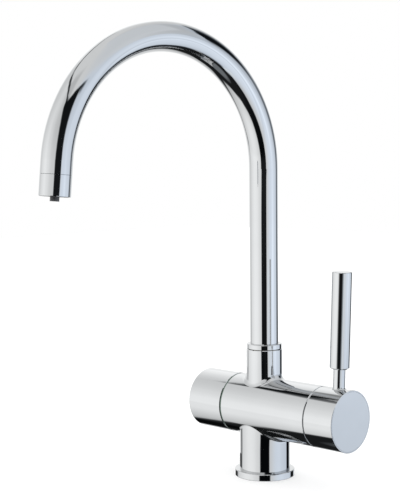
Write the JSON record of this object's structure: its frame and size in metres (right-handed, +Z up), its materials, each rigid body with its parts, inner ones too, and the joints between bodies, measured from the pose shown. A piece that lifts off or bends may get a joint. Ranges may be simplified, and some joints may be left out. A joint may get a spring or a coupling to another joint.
{
  "type": "kitchen tap",
  "caption": "Deck-mounted three way kitchen tap with a swivelling swan-neck spout, a side mixer lever and a filtered water knob.",
  "frame": {"origin": "centre of the base ring's underside, on the deck", "axes": "+Z up out of the deck; X along the barrel with the mixer lever at +X and the filter knob at -X; the user stands at -Y and the spout reaches over the sink towards -Y"},
  "size_m": [0.1585, 0.2489, 0.3778],
  "materials": {
    "chrome": "polished",
    "brass": "machined",
    "stainless": "satin",
    "rubber": "matte",
    "cartridge_plastic": "moulded",
    "dark_plastic": "moulded",
    "ring_plastic": "moulded",
    "bush_plastic": "turned",
    "hose_plastic": "extruded",
    "ceramic": "lapped"
  },
  "bodies": {
    "body": {"body_casting": "chrome", "inlet_foot": "chrome", "base_ring": "chrome", "base_gasket": "rubber", "indicator_ring": "ring_plastic", "spout_bush_upper": "bush_plastic", "spout_bush_lower": "bush_plastic", "spout_retaining_screw": "stainless", "cartridge_base": "cartridge_plastic", "cartridge_port_seals": "rubber", "fixed_ceramic_disc": "ceramic", "cartridge_housing": "cartridge_plastic", "cartridge_nut": "brass", "cartridge_dome": "chrome", "filter_valve_body": "brass", "filter_valve_seal": "rubber", "filter_fixed_disc": "ceramic"},
    "guide": {"cartridge_guide": "cartridge_plastic", "stem_pivot_pin": "stainless"},
    "disc": {"moving_ceramic_disc": "ceramic", "disc_carrier": "cartridge_plastic"},
    "lever": {"cartridge_stem": "brass", "lever_hub": "chrome", "hub_end_cap": "chrome", "hub_grub_screw": "stainless", "lever_rod": "chrome", "lever_grip": "chrome"},
    "knob": {"filter_knob": "chrome", "knob_end_cap": "chrome", "knob_spline_insert": "cartridge_plastic", "filter_spindle": "brass", "spindle_o_ring": "rubber", "spindle_clip": "stainless", "filter_moving_disc": "ceramic", "knob_screw": "stainless"},
    "spout": {"spout_tube": "chrome", "filter_water_tube": "hose_plastic", "spout_collar": "chrome", "spout_foot": "brass", "spout_o_rings": "rubber", "filter_tube_nipple": "brass", "nipple_o_ring": "rubber", "outlet_collar": "chrome", "aerator_washer": "rubber", "aerator": "dark_plastic", "filter_nozzle": "dark_plastic"}
  },
  "joints": [
    {"name": "spout_swivel", "type": "hinge", "parent": "body", "child": "spout", "pos_m": [0, 0, 0.11], "axis": [0, 0, 1], "continuous": true},
    {"name": "lever_turn", "type": "hinge", "parent": "body", "child": "guide", "pos_m": [0.048, 0, 0.0585], "axis": [1, 0, 0], "range_deg": [-50, 50]},
    {"name": "lever_tilt", "type": "hinge", "parent": "guide", "child": "lever", "pos_m": [0.048, 0, 0.0585], "axis": [0, 1, 0], "range_deg": [0, 20]},
    {"name": "disc_slide", "type": "slide", "parent": "guide", "child": "disc", "axis": [0, 0, 1], "range_m": [0, 0.00262]},
    {"name": "filter_knob_turn", "type": "hinge", "parent": "body", "child": "knob", "pos_m": [-0.04, 0, 0.0585], "axis": [-1, 0, 0], "range_deg": [0, 90]}
  ],
  "couplings": [
    {"joint": "disc_slide", "follows": "lever_tilt", "m_per_rad": 0.00745}
  ]
}
